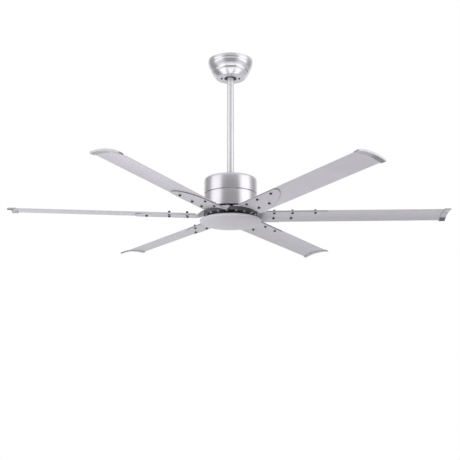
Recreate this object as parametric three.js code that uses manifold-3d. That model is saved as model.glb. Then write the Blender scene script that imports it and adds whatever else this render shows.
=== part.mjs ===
// Ceiling fan: six arched blades on swept brackets, hung by a rod from a ceiling bracket.
// Millimetres, +Z up. The origin lies on the ceiling, at the hanger bracket's top face, and -Y is the front.
import * as THREE from 'three';
import { mergeVertices } from 'three/addons/utils/BufferGeometryUtils.js';
import Module from 'manifold-3d';

const wasm = await Module();
wasm.setup();

// Clearance between mating faces
const gap = 0.3;

// Facets on a full turn: large turnings, tubes, small screws, through holes
const wideTurn = 20;
const midTurn = 14;
const screwTurn = 8;
const holeTurn = 6;

// Downrod, a length of 3/4 inch steel pipe, pinned to the ball above and to the coupling below
const rodRadius = 13.35;
const rodWall = 2.9;
const rodLength = 480;
const rodAboveBall = 17.3;
const rodInCoupling = 35;
const pinRadius = 3;
const ballPinLength = 40;
const rodPinLength = 50;
const pinHeadRadius = 5;
const pinHeadHeight = 3;
const clipWire = 1.6;
const clipOffset = 4;
const clipLength = 22;
const clipLoop = 5;

// Ball, and the seat for it in the hanger bracket, with the tab that keeps it from turning
const seatRadius = 23;
const ballOverSeat = 5;
const ballCut = 18;
const seatPlateMargin = 8;
const keySlotClearance = 1.65;
const tabWidth = 3;
const tabReach = 2.5;
const tabSideClearance = 1;
const tabTipClearance = 1.8;

// Hanger bracket, bent from steel strip
const stripThickness = 2.2;
const hangerWidth = 92;
const hangerBendRadius = 7;
const topPlateDepth = 64;
const legDepth = 32;
const ceilingSlotInset = 11;
const ceilingSlotLength = 16;
const ceilingSlotWidth = 5.5;
const wireHoleOffset = 21;
const wireHoleRadius = 7;

// Canopy, spun from sheet: rim band rolled in at its foot, upper bowl, step, lower bowl, and a flat
// bottom with the ball's hole
const canopyRimGap = 0.5;
const canopyRadius = 86.8;
const canopyHeight = 72;
const canopyWall = 1.2;
const canopyBandHeight = 8;
const canopyRollHeight = 9.6;
const canopyRollDepth = 2.8;
const canopyUpperPull = 4;
const canopyStepRadius = 73.4;
const canopyStepDepth = 44.8;
const canopyStepWidth = 1;
const canopyFlatRadius = 54.8;
const canopyHoleMargin = 2.5;

// Canopy screws, up through the canopy's flat bottom into the hanger bracket
const canopyScrewInset = 12;
const canopyScrewRadius = 1.6;
const canopyScrewHead = 3.6;
const canopyScrewHeadHeight = 2.4;

// Rod coupling under the housing's top: flange, sleeve for the rod, socket for the shaft
const couplingWall = 5.85;
const couplingFlangeRadius = 36;
const couplingFlangeThickness = 5;
const couplingFillet = 4;
const shaftSocketDepth = 17;
const setScrewRadius = 3;
const setScrewDrop = 10;

// Fixed hollow shaft, with a collar that carries the driver tray and presses on the upper bearing
const shaftRadius = 10;
const shaftBore = 6.5;
const shaftGapToRod = 3;
const collarWidth = 6;
const collarHeight = 4;
const spacerWall = 2.7;

// Motor housing, two drawn shells that meet at a seam
const housingRadius = 100;
const housingWall = 1.5;
const housingCorner = 10;
const upperShellHeight = 61;
const rodOpeningMargin = 2.65;
const spigotHeight = 7;
const rolledEdge = 4;

// Driver tray and board above the motor
const trayDrop = 22;
const trayInset = 20;
const trayFloor = 2;
const trayRim = 12;
const boardInset = 6;
const boardLift = 4;
const boardThickness = 1.6;
const capacitorRadius = 9;
const capacitorHeight = 15;
const capacitorCount = 6;
const capacitorInset = 22;

// Stator, and the rotor that turns round it
const coreHeight = 24;
const toothCount = 12;
const toothWidth = 8;
const shoeThickness = 3;
const shoeShare = 0.8;
const yokeRadius = 30;
const windingRadius = 50;
const windingOverhang = 7;
const windingClearance = 4.15;
const airGap = 1.2;
const magnetThickness = 4.5;
const magnetOverhang = 2;
const bellWall = 3.5;
const bellRoof = 4;
const bellBevel = 3;
const bellLipWidth = 6;
const bellLipHeight = 3;
const bellDrop = 8.2;
const windowMargin = 7;
const windowHalfAngle = 18;
const bearingWidth = 12;
const bearingThickness = 10.7;
const raceWidth = 3.5;
const shieldRecess = 0.8;
const bearingSeatWall = 4;
const bearingLip = 2;
const bearingLipHeight = 1;

// Hub ring: dark cast ring that carries the brackets, with three bolt holes to each
const housingToHub = 10.4;
const hubHeight = 13;
const hubRimWidth = 13;
const hubWeb = 4;
const hubBoltInset = 5;
const hubBoltSpread = 20;
const hubBoltHole = 2.8;

// Blades: extruded arch, pitched, and raised a little towards the tip
const bladeCount = 6;
const firstAzimuth = 2.05;
const bladePlaneDrop = 2.7;
const bladePitch = 8.5;
const bladeRise = 1.1;
const tipRadius = 825.5;
const bladeHalf = 53;
const archRise = 7.5;
const bladeEdge = 1.6;
const bladeCrest = 2.6;
const archSteps = 6;

// End cap that wraps the blade's tip
const capLength = 24;
const capSocket = 17;
const capSkin = 2.4;
const capRounding = 1.2;

// Blade bracket: pad on the hub ring, drop to the blade's plane, arm that sweeps to a nose
const padClearance = 5.5;
const padLength = 27;
const padHalfAngle = 27;
const padOverhang = 3.2;
const dropLength = 25.8;
const bracketThickness = 3.6;
const bracketChamfer = 0.9;
const armLeading = 50;
const armTrailing = 49;
const straightLength = 48;
const shoulderOut = 57;
const shoulderAcross = 9;
const tailBack = 27;
const tailAcross = 48;
const armLength = 232;
const noseRadius = 12;
const noseTip = 2;
const bracketRows = 3;
const screwHole = 2.75;
const leadingScrews = [32.4, 101.2, 187];
const trailingScrews = [33.2, 100.1];
const leadingRow = 33.6;
const trailingRow = 19.9;
const bladeRootInset = 2;

// Bottom cover on its plate, and the nut that holds them on the shaft
const coverOverhang = 15;
const coverRimDrop = 14.3;
const coverRim = 3.5;
const coverDepth = 26;
const coverWall = 1.6;
const plateInset = 1;
const plateThickness = 1.6;
const nutFlats = 30;
const nutHeight = 6;
const shaftPastNut = 3;

// Radii that follow from their neighbours
const ballRadius = seatRadius + ballOverSeat;
const seatPlateRadius = seatRadius + seatPlateMargin;
const canopyHoleRadius = seatRadius + canopyHoleMargin;
const canopyScrewOut = hangerWidth / 2 - canopyScrewInset;
const canopyNeckRadius = canopyRadius - canopyRollDepth;
const couplingRadius = rodRadius + gap + couplingWall;
const collarRadius = shaftRadius + collarWidth;
const spacerRadius = shaftRadius + gap + spacerWall;
const trayRadius = housingRadius - trayInset;
const boardRadius = trayRadius - boardInset;
const coreRadius = windingRadius + shoeThickness;
const magnetInner = coreRadius + airGap;
const bellInner = magnetInner + magnetThickness + gap;
const bellOuter = bellInner + bellWall;
const bearingInner = shaftRadius + gap;
const bearingOuter = bearingInner + bearingThickness;
const bearingSeat = bearingOuter + gap;
const padInner = bellOuter + bellLipWidth + padClearance;
const hubRadius = padInner + padLength;
const hubBoltCircle = hubRadius - hubBoltInset;
const coverRadius = hubRadius + coverOverhang;

// Distances out along an arm
const padOuter = hubRadius + padOverhang;
const armStart = padOuter + dropLength;
const noseOut = armStart + armLength;
const bladeRoot = armStart + bladeRootInset;
const bladeEnd = tipRadius - capLength + capSocket - gap;

// Heights, worked downwards from the ceiling
const canopyTop = -canopyRimGap;
const canopyBottom = canopyTop - canopyHeight;
const canopyFloor = canopyBottom + canopyWall;
const seatPlateBottom = canopyFloor + gap;
const seatPlateTop = seatPlateBottom + stripThickness;
const ballCentre = seatPlateTop + Math.sqrt((ballRadius + gap) ** 2 - seatRadius ** 2);
const rodTop = ballCentre + rodAboveBall;
const rodBottom = rodTop - rodLength;
const ballPinHeight = ballCentre + rodAboveBall / 2;
const rodPinHeight = rodBottom + rodInCoupling / 2;
const setScrewCentre = rodBottom - setScrewDrop;
const housingTop = rodBottom + rodInCoupling;
const flangeTop = housingTop - housingWall - gap;
const couplingBottom = rodBottom - shaftSocketDepth;
const shaftTop = rodBottom - shaftGapToRod;
const seamTop = housingTop - upperShellHeight;
const lowerShellTop = seamTop - gap;
const trayBottom = couplingBottom - trayDrop;
const bellTop = trayBottom - bellDrop;
const upperBearingTop = bellTop - bearingLipHeight - gap;
const coreMiddle = bellTop - bellRoof - windingClearance - windingOverhang - coreHeight / 2;
const hubTop = coreMiddle - coreHeight / 2 - windingOverhang - windingClearance;
const bellBottom = hubTop + gap;
const hubBottom = hubTop - hubHeight;
const lowerBearingBottom = hubBottom + bearingLipHeight + gap;
const housingBottom = hubTop + housingToHub;
const bladePlane = hubBottom - bladePlaneDrop;
const coverTop = bladePlane - coverRimDrop;
const plateTop = coverTop - plateInset;
const plateBottom = plateTop - plateThickness;
const nutBottom = plateBottom - gap - nutHeight;
const shaftBottom = nutBottom - shaftPastNut;

// Finishes
const satinSilver = { color: 0xc2c0c6, roughness: 0.42, metalness: 0.75 };
const brushedSilver = { color: 0xcfcdd3, roughness: 0.3, metalness: 0.9 };
const paintedSilver = { color: 0xbbb9be, roughness: 0.5, metalness: 0.45 };
const polishedCap = { color: 0xd6d5da, roughness: 0.2, metalness: 0.7 };
const darkCasting = { color: 0x39373c, roughness: 0.55, metalness: 0.5 };
const blackPlastic = { color: 0x222124, roughness: 0.5, metalness: 0 };
const zincSteel = { color: 0xb8bcc0, roughness: 0.35, metalness: 0.9 };
const blackSteel = { color: 0x28262b, roughness: 0.45, metalness: 0.6 };
const copper = { color: 0xb06a3a, roughness: 0.4, metalness: 0.85 };
const laminations = { color: 0x7c7f84, roughness: 0.5, metalness: 0.8 };
const ferrite = { color: 0x2c2b2d, roughness: 0.7, metalness: 0.1 };
const circuitGreen = { color: 0x1f5c3a, roughness: 0.5, metalness: 0 };

const radians = THREE.MathUtils.degToRad;

// Surface of revolution about Z from a closed profile of [radius, height] points, listed anticlockwise
function turned(profile, facets) {
  const points = profile.map(([radius, height]) => new THREE.Vector2(radius, height));
  if (profile[0][0] > 0) points.push(points[0].clone());
  return new THREE.LatheGeometry(points, facets).rotateX(Math.PI / 2);
}

// Ring with a square section
function ring(inner, outer, low, high, facets) {
  return turned([[inner, low], [outer, low], [outer, high], [inner, high]], facets);
}

// Round bar along Z between two heights
function bar(radius, low, high, facets) {
  const cylinder = new THREE.CylinderGeometry(radius, radius, high - low, facets);
  return cylinder.rotateX(Math.PI / 2).translate(0, 0, (low + high) / 2);
}

// Round bar along X, centred at a height
function crossBar(radius, length, height) {
  return bar(radius, -length / 2, length / 2, screwTurn).rotateY(Math.PI / 2).translate(0, 0, height);
}

// Block between two corners
function block(low, high) {
  const size = high.map((value, axis) => value - low[axis]);
  const middle = high.map((value, axis) => (value + low[axis]) / 2);
  return new THREE.BoxGeometry(...size).translate(...middle);
}

// Flat outline raised along Z
function raised(shape, low, high, curveSegments = 2) {
  const options = { depth: high - low, bevelEnabled: false, curveSegments };
  return new THREE.ExtrudeGeometry(shape, options).translate(0, 0, low);
}

// Outline in the YZ plane, drawn out along X
function drawnOut(shape, start, end, bevel) {
  const options = { depth: end - start, bevelEnabled: false, ...bevel };
  const toX = new THREE.Matrix4().makeBasis(
    new THREE.Vector3(0, 1, 0), new THREE.Vector3(0, 0, 1), new THREE.Vector3(1, 0, 0));
  return new THREE.ExtrudeGeometry(shape, options).applyMatrix4(toX).translate(start, 0, 0);
}

// Copies of a tool about the Z axis, one at each angle in degrees
function around(angles, makeTool) {
  return angles.map((angle) => makeTool().rotateZ(radians(angle)));
}

// Angles in degrees of evenly spaced copies on a full turn
function evenAngles(count) {
  return Array.from({ length: count }, (_, i) => 360 * i / count);
}

// Closed mesh as a solid that can be joined and cut
function solid(geometry) {
  const bare = geometry.clone();
  bare.deleteAttribute('normal');
  bare.deleteAttribute('uv');
  const merged = mergeVertices(bare, 1e-4);
  const corners = merged.index.array;
  const kept = [];
  for (let i = 0; i < corners.length; i += 3) {
    const [a, b, c] = corners.slice(i, i + 3);
    if (a !== b && b !== c && c !== a) kept.push(a, b, c);
  }
  return new wasm.Manifold(new wasm.Mesh({
    numProp: 3,
    vertProperties: new Float32Array(merged.attributes.position.array),
    triVerts: new Uint32Array(kept),
  }));
}

function cut(base, ...tools) {
  return tools.reduce((left, tool) => left.subtract(solid(tool)), base);
}

function joined(...pieces) {
  return pieces.map(solid).reduce((whole, piece) => whole.add(piece));
}

// Geometry of a solid, for a mesh
function shaped(body) {
  const mesh = body.getMesh();
  const geometry = new THREE.BufferGeometry();
  geometry.setAttribute('position', new THREE.BufferAttribute(new Float32Array(mesh.vertProperties), 3));
  geometry.setIndex(new THREE.BufferAttribute(new Uint32Array(mesh.triVerts), 1));
  geometry.computeVertexNormals();
  return geometry;
}

function addPart(group, name, finish, geometry) {
  const mesh = new THREE.Mesh(geometry, new THREE.MeshStandardMaterial(finish));
  mesh.name = name;
  group.add(mesh);
}

// Rounded rectangle about the origin
function roundedRectangle(width, height, radius) {
  const x = width / 2 - radius;
  const y = height / 2 - radius;
  const quarter = Math.PI / 2;
  const shape = new THREE.Shape();
  shape.absarc(x, y, radius, 0, quarter, false);
  shape.absarc(-x, y, radius, quarter, 2 * quarter, false);
  shape.absarc(-x, -y, radius, 2 * quarter, 3 * quarter, false);
  shape.absarc(x, -y, radius, 3 * quarter, 4 * quarter, false);
  return shape;
}

// Strip bent round into a box that is open front and back
function bentStrip() {
  const height = -seatPlateBottom;
  const loop = roundedRectangle(hangerWidth, height, hangerBendRadius);
  loop.holes.push(roundedRectangle(
    hangerWidth - 2 * stripThickness, height - 2 * stripThickness, hangerBendRadius - stripThickness));
  return raised(loop, -topPlateDepth / 2, topPlateDepth / 2).rotateX(Math.PI / 2).translate(0, 0, -height / 2);
}

// Hanger bracket: the strip trimmed to a deep top plate, two legs and a round seat, with a front slot
// for the rod, ceiling slots, a wire hole and the tab for the ball
function hangerBracket() {
  const below = seatPlateBottom - 1;
  const above = seatPlateTop + 1;
  const trim = joined(
    block([-hangerWidth, -topPlateDepth, -2 * hangerBendRadius], [hangerWidth, topPlateDepth, 1]),
    block([-hangerWidth, -legDepth / 2, below], [hangerWidth, legDepth / 2, 0]),
    bar(seatPlateRadius, below, above, wideTurn));
  const keySlot = rodRadius + keySlotClearance;
  const tools = [
    bar(seatRadius, below, above, wideTurn),
    block([-keySlot, -2 * seatPlateRadius, below], [keySlot, 0, above]),
    bar(wireHoleRadius, -stripThickness - 1, 1, screwTurn).translate(0, wireHoleOffset, 0),
  ];
  for (const side of [-1, 1]) {
    tools.push(bar(canopyScrewRadius + gap, below, above, screwTurn).translate(side * canopyScrewOut, 0, 0));
    const slot = roundedRectangle(ceilingSlotWidth, ceilingSlotLength, 0.49 * ceilingSlotWidth);
    const slotOut = side * (hangerWidth / 2 - ceilingSlotInset);
    tools.push(raised(slot, -stripThickness - 1, 1).translate(slotOut, 0, 0));
  }
  const tab = block(
    [-tabWidth / 2, seatRadius - tabReach, seatPlateBottom], [tabWidth / 2, seatRadius + 1, seatPlateTop]);
  return shaped(cut(solid(bentStrip()).intersect(trim), ...tools).add(solid(tab)));
}

// Canopy's wall below its rim band as [radius, height]: the roll, then the upper bowl down to the
// step, then the lower bowl down to the flat
function canopyBowls(wall, rollSteps, upperSteps, lowerSteps) {
  const at = (radius, depth) => new THREE.Vector2(radius - wall, canopyTop - depth);
  const rollEnd = canopyBandHeight + canopyRollHeight;
  const upperTop = rollEnd + canopyStepWidth;
  const lowerTop = canopyStepDepth + canopyStepWidth;
  const lowerRadius = canopyStepRadius - canopyStepWidth;
  const curves = [
    [rollSteps, at(canopyRadius, canopyBandHeight),
      at(canopyRadius, canopyBandHeight + 0.7 * canopyRollHeight),
      at(canopyNeckRadius, rollEnd)],
    [upperSteps, at(canopyNeckRadius, upperTop),
      at(canopyNeckRadius - canopyUpperPull, THREE.MathUtils.lerp(upperTop, canopyStepDepth, 0.6)),
      at(canopyStepRadius, canopyStepDepth)],
    [lowerSteps, at(lowerRadius, lowerTop),
      at(lowerRadius, THREE.MathUtils.lerp(lowerTop, canopyHeight, 0.45)),
      new THREE.Vector2(canopyFlatRadius - wall / 2, canopyBottom + wall)],
  ];
  return curves.flatMap(([steps, start, pull, end]) => (
    new THREE.QuadraticBezierCurve(start, pull, end).getPoints(steps).map((point) => [point.x, point.y])));
}

// Canopy shell: down the outside, in along the bottom, and back up one wall further in
function canopy() {
  const outside = [[canopyRadius, canopyTop], ...canopyBowls(0, 2, 3, 4), [canopyHoleRadius, canopyBottom]];
  const inside = [
    [canopyRadius - canopyWall, canopyTop], ...canopyBowls(canopyWall, 2, 2, 2), [canopyHoleRadius, canopyFloor]];
  const shell = turned([...inside, ...outside.reverse()], wideTurn);
  const screwHoles = [-1, 1].map((side) => (
    bar(canopyScrewRadius + 2 * gap, canopyBottom - 1, canopyFloor + 1, screwTurn)
      .translate(side * canopyScrewOut, 0, 0)));
  return shaped(cut(solid(shell), ...screwHoles));
}

// Round-headed screw from below, its head under the canopy
function canopyScrew(side) {
  const headTop = canopyBottom - gap;
  const headBottom = headTop - canopyScrewHeadHeight;
  const profile = [
    [0, headBottom],
    [0.6 * canopyScrewHead, headBottom],
    [canopyScrewHead, headBottom + 0.5 * canopyScrewHeadHeight],
    [canopyScrewHead, headTop],
    [canopyScrewRadius, headTop],
    [canopyScrewRadius, seatPlateTop + 1],
    [0, seatPlateTop + 1],
  ];
  return turned(profile, screwTurn).translate(side * canopyScrewOut, 0, 0);
}

// Ball cut flat above and below, bored for the rod, with a cross hole for the pin and a groove for the tab
function hangerBall() {
  const bore = rodRadius + gap;
  const reach = Math.asin(ballCut / ballRadius);
  const arc = new THREE.EllipseCurve(0, 0, ballRadius, ballRadius, -reach, reach);
  const profile = [[bore, ballCut], [bore, -ballCut], ...arc.getPoints(5).map((point) => [point.x, point.y])];
  const grooveHalf = tabWidth / 2 + tabSideClearance;
  const grooveFloor = seatRadius - tabReach - tabTipClearance;
  const groove = block([-grooveHalf, grooveFloor, -ballRadius], [grooveHalf, ballRadius, 0]);
  const pinHole = crossBar(pinRadius + gap, 2 * ballRadius + 1, ballPinHeight - ballCentre);
  return shaped(cut(solid(turned(profile, midTurn)), groove, pinHole)).translate(0, 0, ballCentre);
}

// Tube with a cross hole for each pin
function downrod() {
  const tube = ring(rodRadius - rodWall, rodRadius, rodBottom, rodTop, midTurn);
  const holes = [ballPinHeight, rodPinHeight].map((height) => crossBar(pinRadius + gap, 3 * rodRadius, height));
  return shaped(cut(solid(tube), ...holes));
}

// Clevis pin through the coupling and the rod's foot, with a head at one end and a clip hole at the other
function rodPin() {
  const start = -couplingRadius - gap;
  const shank = bar(pinRadius, start - 1, start + rodPinLength, screwTurn);
  const head = bar(pinHeadRadius, start - pinHeadHeight, start, screwTurn);
  const clipHole = bar(clipWire / 2 + gap, -2 * pinRadius, 2 * pinRadius, holeTurn)
    .rotateX(Math.PI / 2).translate(0, 0, couplingRadius + clipOffset);
  return shaped(cut(joined(shank, head), clipHole)).rotateY(Math.PI / 2).translate(0, 0, rodPinHeight);
}

// Spring clip: a straight leg through the pin's hole, a loop, and a leg that springs under the pin
function pinClip() {
  const reach = clipLength / 2;
  const under = pinRadius + gap + clipWire;
  const bent = new THREE.CatmullRomCurve3([
    new THREE.Vector3(0, -reach, 0),
    new THREE.Vector3(0, -reach - clipLoop, -clipLoop),
    new THREE.Vector3(0, -reach, -2 * clipLoop),
    new THREE.Vector3(0, 0, -under),
    new THREE.Vector3(0, 0.8 * reach, -under - clipWire),
  ]);
  const route = new THREE.CurvePath();
  route.add(new THREE.LineCurve3(new THREE.Vector3(0, reach, 0), new THREE.Vector3(0, -reach, 0)));
  route.add(bent);
  const section = new THREE.Shape();
  section.absarc(0, 0, clipWire / 2, 0, 2 * Math.PI, false);
  const wire = new THREE.ExtrudeGeometry(section, { steps: 14, curveSegments: 2, extrudePath: route });
  return wire.translate(couplingRadius + clipOffset, 0, rodPinHeight);
}

// Cast coupling, with cross holes for the rod's pin and for the two set screws on the shaft
function rodCoupling() {
  const rodBore = rodRadius + gap;
  const shaftSocket = shaftRadius + gap;
  const flangeBottom = flangeTop - couplingFlangeThickness;
  const profile = [
    [shaftSocket, couplingBottom],
    [couplingRadius, couplingBottom],
    [couplingRadius, flangeBottom - couplingFillet],
    [couplingRadius + couplingFillet, flangeBottom],
    [couplingFlangeRadius, flangeBottom],
    [couplingFlangeRadius, flangeTop],
    [rodBore, flangeTop],
    [rodBore, rodBottom - gap],
    [shaftSocket, rodBottom - gap],
  ];
  const pinHole = crossBar(pinRadius + gap, 3 * couplingRadius, rodPinHeight);
  const screwHoles = crossBar(setScrewRadius + gap, 3 * couplingRadius, setScrewCentre).rotateZ(Math.PI / 2);
  return shaped(cut(solid(turned(profile, midTurn)), pinHole, screwHoles));
}

// Grub screw that clamps the shaft in the coupling, front or back, with a hexagon socket
function setScrew(side) {
  const start = shaftRadius + gap;
  const end = couplingRadius + 1;
  const body = cut(
    solid(bar(setScrewRadius, start, end, screwTurn)),
    bar(setScrewRadius / 2, end - setScrewRadius, end + 1, 6));
  return shaped(body).rotateX(-side * Math.PI / 2).translate(0, 0, setScrewCentre);
}

function motorShaft() {
  const collarTop = trayBottom - gap;
  const profile = [
    [shaftBore, shaftBottom],
    [shaftRadius, shaftBottom],
    [shaftRadius, upperBearingTop + gap],
    [spacerRadius, upperBearingTop + gap],
    [spacerRadius, collarTop - collarHeight],
    [collarRadius, collarTop - collarHeight],
    [collarRadius, collarTop],
    [shaftRadius, collarTop],
    [shaftRadius, shaftTop],
    [shaftBore, shaftTop],
  ];
  return turned(profile, midTurn);
}

// Tube on the shaft between the lower bearing and the cover plate
function lowerSpacer() {
  return ring(shaftRadius + gap, spacerRadius, plateTop + gap, lowerBearingBottom - gap, midTurn);
}

// Upper shell: flat top with the rod's opening, rounded corner, straight side
function upperShell() {
  const corner = (radius, steps) => {
    const centre = housingRadius - housingCorner;
    const arc = new THREE.EllipseCurve(centre, housingTop - housingCorner, radius, radius, 0, Math.PI / 2);
    return arc.getPoints(steps).map((point) => [point.x, point.y]);
  };
  const opening = rodRadius + rodOpeningMargin;
  const profile = [
    [housingRadius - housingWall, seamTop],
    [housingRadius, seamTop],
    ...corner(housingCorner, 4),
    [opening, housingTop],
    [opening, housingTop - housingWall],
    ...corner(housingCorner - housingWall, 2).reverse(),
  ];
  return turned(profile, wideTurn);
}

// Lower shell: spigot that plugs into the upper shell, straight side, edge turned in at the bottom
function lowerShell() {
  const inner = housingRadius - housingWall;
  const spigot = inner - gap;
  const profile = [
    [inner - rolledEdge, housingBottom],
    [housingRadius, housingBottom],
    [housingRadius, lowerShellTop],
    [spigot, lowerShellTop],
    [spigot, lowerShellTop + spigotHeight],
    [spigot - housingWall, lowerShellTop + spigotHeight],
    [spigot - housingWall, lowerShellTop - 2 * housingWall],
    [inner, lowerShellTop - 3 * housingWall],
    [inner, housingBottom + housingWall],
    [inner - rolledEdge, housingBottom + housingWall],
  ];
  return turned(profile, wideTurn);
}

// Dished tray with a ledge that the board's edge rests on
function driverTray() {
  const ledge = boardRadius - 2 * trayFloor;
  const profile = [
    [shaftRadius + gap, trayBottom],
    [trayRadius, trayBottom],
    [trayRadius, trayBottom + trayRim],
    [trayRadius - trayFloor, trayBottom + trayRim],
    [trayRadius - trayFloor, trayBottom + boardLift],
    [ledge, trayBottom + boardLift],
    [ledge, trayBottom + trayFloor],
    [shaftRadius + gap, trayBottom + trayFloor],
  ];
  return turned(profile, wideTurn);
}

// Round driver board with a ring of capacitors
function driverBoard() {
  const low = trayBottom + boardLift + gap;
  const high = low + boardThickness;
  const cans = around(evenAngles(capacitorCount), () => (
    bar(capacitorRadius, high - boardThickness / 2, high + capacitorHeight, screwTurn)
      .translate(boardRadius - capacitorInset, 0, 0)));
  return shaped(joined(ring(collarRadius, boardRadius, low, high, wideTurn), ...cans));
}

// Outline of the core, a yoke with teeth that widen to shoes, grown on every side by the margin
function coreOutline(margin) {
  const pitch = 2 * Math.PI / toothCount;
  const outer = coreRadius + margin;
  const shoeInner = coreRadius - shoeThickness - margin;
  const shoeHalf = shoeShare * pitch / 2 + margin / outer;
  const toothHalf = toothWidth / 2 + margin;
  const yoke = yokeRadius + margin;
  const tooth = [
    [yoke, -toothHalf / yoke],
    [shoeInner, -toothHalf / shoeInner],
    [shoeInner, -shoeHalf],
    [outer, -shoeHalf],
    [outer, 0],
    [outer, shoeHalf],
    [shoeInner, shoeHalf],
    [shoeInner, toothHalf / shoeInner],
    [yoke, toothHalf / yoke],
  ];
  const points = evenAngles(toothCount).flatMap((turn) => (
    tooth.map(([radius, angle]) => {
      const place = radians(turn) + angle;
      return new THREE.Vector2(radius * Math.cos(place), radius * Math.sin(place));
    })));
  return new THREE.Shape(points);
}

function statorCore() {
  const half = coreHeight / 2;
  const body = raised(coreOutline(0), coreMiddle - half, coreMiddle + half);
  const bore = bar(shaftRadius + gap, coreMiddle - coreHeight, coreMiddle + coreHeight, midTurn);
  return shaped(cut(solid(body), bore));
}

// Winding: fills the slots and stands out over both faces of the core
function statorWinding() {
  const reach = coreHeight / 2 + windingOverhang;
  const coil = ring(
    yokeRadius + 2 * gap, windingRadius, coreMiddle - reach, coreMiddle + reach, toothCount);
  const half = coreHeight / 2 + gap;
  return shaped(cut(solid(coil), raised(coreOutline(gap), coreMiddle - half, coreMiddle + half)));
}

// Rotor bell: roof with the upper bearing's seat and a window above each blade, skirt, lip on the hub ring
function rotorBell() {
  const roofBottom = bellTop - bellRoof;
  const seatBottom = upperBearingTop - bearingWidth;
  const profile = [
    [bearingSeat, seatBottom],
    [bearingSeat + bearingSeatWall, seatBottom],
    [bearingSeat + bearingSeatWall, roofBottom],
    [bellInner, roofBottom],
    [bellInner, bellBottom],
    [bellOuter + bellLipWidth, bellBottom],
    [bellOuter + bellLipWidth, bellBottom + bellLipHeight],
    [bellOuter, bellBottom + bellLipHeight],
    [bellOuter, bellTop - bellBevel],
    [bellOuter - bellBevel, bellTop],
    [bearingOuter - bearingLip, bellTop],
    [bearingOuter - bearingLip, bellTop - bearingLipHeight],
    [bearingSeat, bellTop - bearingLipHeight],
  ];
  const window = new THREE.Shape();
  const spread = radians(windowHalfAngle);
  window.absarc(0, 0, bellInner - windowMargin, -spread, spread, false);
  window.absarc(0, 0, bearingSeat + bearingSeatWall + windowMargin, spread, -spread, true);
  const windows = around(evenAngles(bladeCount), () => raised(window, roofBottom - 1, bellTop + 1));
  return shaped(cut(solid(turned(profile, wideTurn)), ...windows));
}

function magnetRing() {
  const half = coreHeight / 2 + magnetOverhang;
  const outer = magnetInner + magnetThickness;
  return ring(magnetInner, outer, coreMiddle - half, coreMiddle + half, wideTurn);
}

// Ball bearing: two races with a recessed shield between them on each face
function bearing(low) {
  const high = low + bearingWidth;
  const innerRace = bearingInner + raceWidth;
  const outerRace = bearingOuter - raceWidth;
  const profile = [
    [bearingInner, low], [innerRace, low], [innerRace, low + shieldRecess], [outerRace, low + shieldRecess],
    [outerRace, low], [bearingOuter, low], [bearingOuter, high], [outerRace, high],
    [outerRace, high - shieldRecess], [innerRace, high - shieldRecess], [innerRace, high], [bearingInner, high],
  ];
  return turned(profile, midTurn);
}

// Where a bracket's three bolts pass, in degrees from its middle
const boltAngles = [-hubBoltSpread, 0, hubBoltSpread];

function boltTool(low, high) {
  return bar(hubBoltHole, low, high, holeTurn).translate(hubBoltCircle, 0, 0);
}

// Hub ring: thick rim with the bolt holes, thin web, seat for the lower bearing
function hubRing() {
  const rimInner = hubRadius - hubRimWidth;
  const webBottom = hubTop - hubWeb;
  const profile = [
    [bearingOuter - bearingLip, hubBottom],
    [bearingSeat + bearingSeatWall, hubBottom],
    [bearingSeat + bearingSeatWall, webBottom],
    [rimInner, webBottom],
    [rimInner, hubBottom],
    [hubRadius, hubBottom],
    [hubRadius, hubTop],
    [bearingSeat, hubTop],
    [bearingSeat, hubBottom + bearingLipHeight],
    [bearingOuter - bearingLip, hubBottom + bearingLipHeight],
  ];
  const angles = evenAngles(bladeCount).flatMap((middle) => boltAngles.map((angle) => middle + angle));
  const holes = around(angles, () => boltTool(hubBottom - 1, hubTop + 1));
  return shaped(cut(solid(turned(profile, wideTurn)), ...holes));
}

// Height of a blade's underside above the blade's plane, at a distance across from its middle
function underside(across) {
  return archRise * (1 - (across / bladeHalf) ** 2);
}

// Shares of a half width, from -1 to 1, at the ends of a number of even steps
function evenShares(steps) {
  return Array.from({ length: steps + 1 }, (_, i) => 2 * i / steps - 1);
}

// Arched section of a blade, with Y across and Z up, grown on every side by the margin
function archSection(margin) {
  const half = bladeHalf + margin;
  const edge = bladeEdge + 2 * margin;
  const crest = bladeCrest + 2 * margin;
  const acrosses = evenShares(archSteps).map((share) => half * share);
  const below = acrosses.map((y) => new THREE.Vector2(y, underside(y) - margin));
  const above = acrosses.map((y) => {
    const thickness = edge + (crest - edge) * (1 - (y / half) ** 2);
    return new THREE.Vector2(y, underside(y) - margin + thickness);
  });
  return new THREE.Shape([...below, ...above.reverse()]);
}

// Places of a blade's screws as [distance out, distance across], with the leading edge towards -Y
const screwPlaces = [
  ...leadingScrews.map((out) => [armStart + out, -leadingRow]),
  ...trailingScrews.map((out) => [armStart + out, trailingRow]),
];

function screwTools() {
  return screwPlaces.map(([out, across]) => (
    bar(screwHole, -2 * bracketThickness, archRise + 2 * bladeCrest, holeTurn).translate(out, across, 0)));
}

function blade() {
  return shaped(cut(solid(drawnOut(archSection(0), bladeRoot, bladeEnd)), ...screwTools()));
}

// End cap: the blade's section grown by the skin, rounded at its ends, with a socket for the blade
function endCap() {
  const start = tipRadius - capLength;
  const bevel = {
    bevelEnabled: true,
    bevelThickness: capRounding,
    bevelSize: capRounding,
    bevelOffset: -capRounding,
    bevelSegments: 1,
  };
  const outside = drawnOut(archSection(capSkin), start + capRounding, tipRadius - capRounding, bevel);
  const socket = drawnOut(archSection(gap), start - 1, start + capSocket);
  return shaped(cut(solid(outside), socket));
}

// Tilt of the blade's plane against the arm's own level frame
const bladeTilt = new THREE.Euler(-radians(bladePitch), -radians(bladeRise), 0, 'YXZ');
const bladeFrame = new THREE.Matrix4().makeRotationFromEuler(bladeTilt);

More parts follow.
